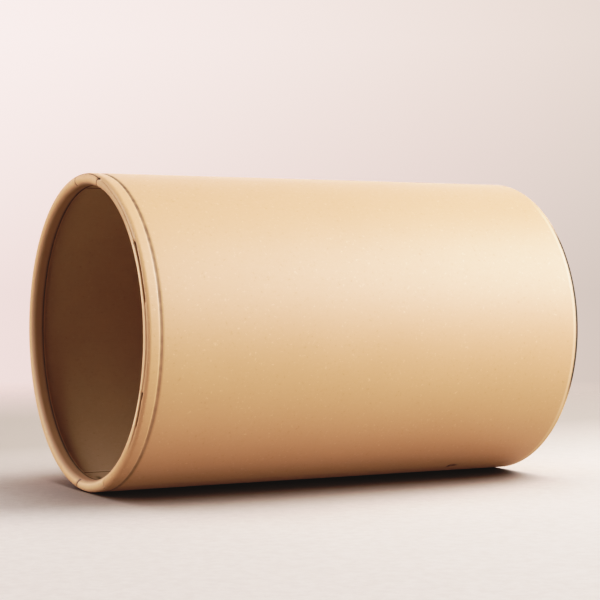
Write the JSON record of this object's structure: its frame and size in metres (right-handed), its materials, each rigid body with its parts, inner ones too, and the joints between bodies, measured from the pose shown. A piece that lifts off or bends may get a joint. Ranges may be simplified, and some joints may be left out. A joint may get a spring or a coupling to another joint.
{
  "type": "cardboard tube",
  "caption": "Round kraft board tube with a rolled rim round its open mouth, a pressed line below the rim, and a recessed board base clamped in its turned-in foot.",
  "frame": {"origin": "centre of the circle that the foot stands on", "axes": "+Z along the tube's axis, from the closed foot to the open mouth"},
  "size_m": [0.2, 0.2, 0.311],
  "materials": {
    "kraft_board": "satin kraft facing paper",
    "base_board": "plain matte board"
  },
  "bodies": {
    "root": {"tube_body": "kraft_board", "base_dish": "base_board"}
  },
  "joints": []
}
